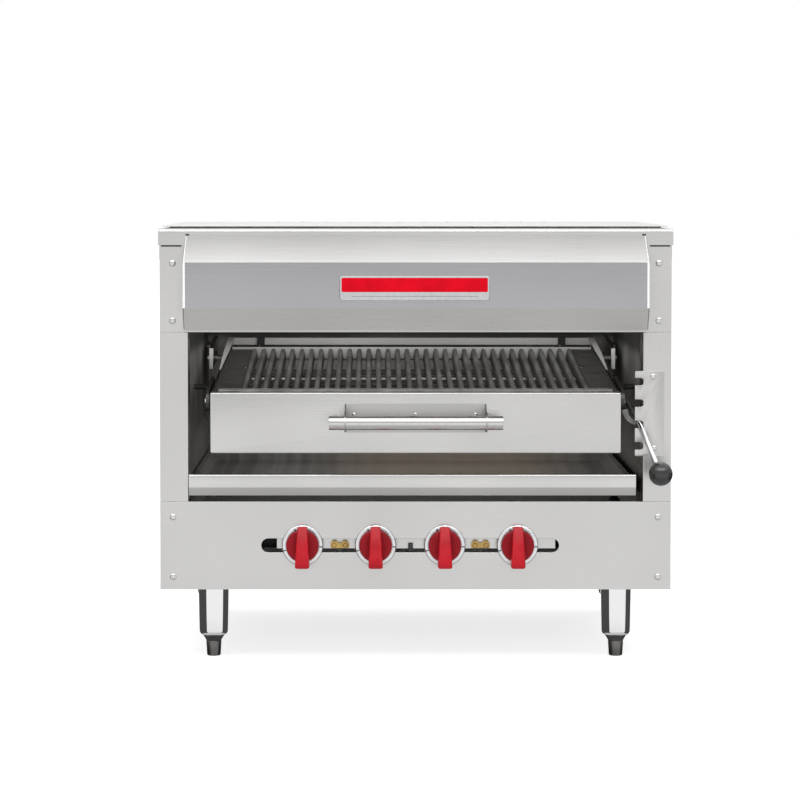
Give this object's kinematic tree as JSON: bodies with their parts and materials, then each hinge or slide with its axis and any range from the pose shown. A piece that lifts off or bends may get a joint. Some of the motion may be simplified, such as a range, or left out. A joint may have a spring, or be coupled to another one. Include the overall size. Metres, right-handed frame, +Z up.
{
  "type": "charbroiler grill",
  "caption": "Over-fired gas counter broiler: stainless cabinet with overhead burners, a sloping cast grate drawer on a lever-raised carriage, drip tray, knobs and adjustable legs.",
  "frame": {"origin": "on the floor under the middle of the bounding box", "axes": "+Z up, front towards -Y, +X to the right seen from the front"},
  "size_m": [0.9144, 0.82, 0.781],
  "materials": {
    "stainless_cabinet": "brushed stainless sheet, fine horizontal or vertical grain, satin",
    "badge_enamel": "glossy red field with a silver strip and rim, no lettering",
    "sooted_steel": "heat-darkened stainless, dull and smoky",
    "burner_body": "aluminised sheet box with a pale ceramic plaque underneath",
    "black_pipe": "black iron gas pipe",
    "brass_fittings": "machined brass, slightly tarnished",
    "bezel_metal": "satin silver ring with plain dark index marks",
    "red_knob": "glossy deep red phenolic",
    "stainless_tray": "bright stainless sheet, mirror-like floor",
    "arm_steel": "plain rolled steel bar",
    "chrome": "polished chrome plate",
    "black_ball": "glossy black phenolic",
    "stainless_carriage": "brushed stainless, heat-tinted",
    "drawer_steel": "dull dark steel",
    "stainless_drawer": "brushed stainless sheet, horizontal grain",
    "handle_steel": "brushed stainless tube",
    "cast_iron": "seasoned cast iron, dark grey",
    "foot_steel": "dark plated steel"
  },
  "bodies": {
    "cabinet": {"base_pan": "stainless_cabinet", "left_side_panel": "stainless_cabinet", "right_side_panel": "stainless_cabinet", "back_panel": "stainless_cabinet", "top_cap": "stainless_cabinet", "top_plate": "stainless_cabinet", "left_post": "stainless_cabinet", "right_post": "stainless_cabinet", "upper_front_panel": "stainless_cabinet", "hood": "stainless_cabinet", "control_panel": "stainless_cabinet", "notch_plate": "stainless_cabinet", "name_plate": "badge_enamel", "left_liner": "sooted_steel", "right_liner": "sooted_steel", "rear_liner": "sooted_steel", "heat_baffle": "sooted_steel", "tray_rail_left": "sooted_steel", "tray_rail_right": "sooted_steel", "burner_1": "burner_body", "burner_2": "burner_body", "burner_3": "burner_body", "burner_4": "burner_body", "gas_manifold": "black_pipe", "gas_inlet_pipe": "black_pipe", "gas_valve_1": "brass_fittings", "gas_valve_2": "brass_fittings", "gas_valve_3": "brass_fittings", "gas_valve_4": "brass_fittings", "pilot_valve_left": "brass_fittings", "pilot_valve_right": "brass_fittings", "bezel_1": "bezel_metal", "bezel_2": "bezel_metal", "bezel_3": "bezel_metal", "bezel_4": "bezel_metal", "leg_front_left": "chrome", "leg_front_right": "chrome", "leg_rear_left": "chrome", "leg_rear_right": "chrome"},
    "front_arms": {"front_arm_left": "arm_steel", "front_arm_right": "arm_steel"},
    "rear_arms": {"rear_arm_left": "arm_steel", "rear_arm_right": "arm_steel"},
    "lever": {"lever_rod": "chrome", "lever_ball": "black_ball"},
    "carriage": {"carriage_frame": "stainless_carriage"},
    "drawer": {"drawer_frame": "drawer_steel", "drawer_front": "stainless_drawer", "grate": "cast_iron", "handle_bracket": "stainless_drawer", "handle_tube": "handle_steel"},
    "tray": {"drip_tray": "stainless_tray"},
    "knob_body_1": {"knob_1": "red_knob"},
    "knob_body_2": {"knob_2": "red_knob"},
    "knob_body_3": {"knob_3": "red_knob"},
    "knob_body_4": {"knob_4": "red_knob"},
    "foot_body_front_left": {"foot_front_left": "foot_steel"},
    "foot_body_front_right": {"foot_front_right": "foot_steel"},
    "foot_body_rear_left": {"foot_rear_left": "foot_steel"},
    "foot_body_rear_right": {"foot_rear_right": "foot_steel"}
  },
  "joints": [
    {"name": "lift", "type": "hinge", "parent": "cabinet", "child": "front_arms", "pos_m": [0, -0.09, 0.481], "axis": [-1, 0, 0], "range_deg": [-7.6, 19.7], "deforming": ["lever_rod"]},
    {"name": "rear_arm_follow", "type": "hinge", "parent": "cabinet", "child": "rear_arms", "pos_m": [0, 0.34, 0.534], "axis": [-1, 0, 0], "range_deg": [-7.6, 19.7]},
    {"name": "carriage_level", "type": "hinge", "parent": "front_arms", "child": "carriage", "pos_m": [0, -0.25, 0.467], "axis": [-1, 0, 0], "range_deg": [-19.7, 7.6]},
    {"name": "lever_swing", "type": "hinge", "parent": "front_arms", "child": "lever", "pos_m": [0.38, -0.257, 0.46853], "axis": [0, 0.6743, -0.7384], "range_deg": [0, 12.5]},
    {"name": "drawer_slide", "type": "slide", "parent": "carriage", "child": "drawer", "axis": [0, -0.996, -0.0889], "range_m": [0, 0.35]},
    {"name": "tray_slide", "type": "slide", "parent": "cabinet", "child": "tray", "axis": [0, -1, 0], "range_m": [0, 0.45]},
    {"name": "knob_turn_1", "type": "hinge", "parent": "cabinet", "child": "knob_body_1", "pos_m": [-0.2015, -0.3, 0.2115], "axis": [0, -1, 0], "range_deg": [0, 90]},
    {"name": "knob_turn_2", "type": "hinge", "parent": "cabinet", "child": "knob_body_2", "pos_m": [-0.0711, -0.3, 0.2115], "axis": [0, -1, 0], "range_deg": [0, 90]},
    {"name": "knob_turn_3", "type": "hinge", "parent": "cabinet", "child": "knob_body_3", "pos_m": [0.0522, -0.3, 0.2115], "axis": [0, -1, 0], "range_deg": [0, 90]},
    {"name": "knob_turn_4", "type": "hinge", "parent": "cabinet", "child": "knob_body_4", "pos_m": [0.1819, -0.3, 0.2115], "axis": [0, -1, 0], "range_deg": [0, 90]},
    {"name": "foot_screw_front_left", "type": "slide", "parent": "cabinet", "child": "foot_body_front_left", "axis": [0, 0, -1], "range_m": [0, 0.025]},
    {"name": "foot_screw_front_right", "type": "slide", "parent": "cabinet", "child": "foot_body_front_right", "axis": [0, 0, -1], "range_m": [0, 0.025]},
    {"name": "foot_screw_rear_left", "type": "slide", "parent": "cabinet", "child": "foot_body_rear_left", "axis": [0, 0, -1], "range_m": [0, 0.025]},
    {"name": "foot_screw_rear_right", "type": "slide", "parent": "cabinet", "child": "foot_body_rear_right", "axis": [0, 0, -1], "range_m": [0, 0.025]}
  ],
  "couplings": [
    {"joint": "rear_arm_follow", "follows": "lift", "ratio": 1},
    {"joint": "carriage_level", "follows": "lift", "ratio": -1}
  ]
}
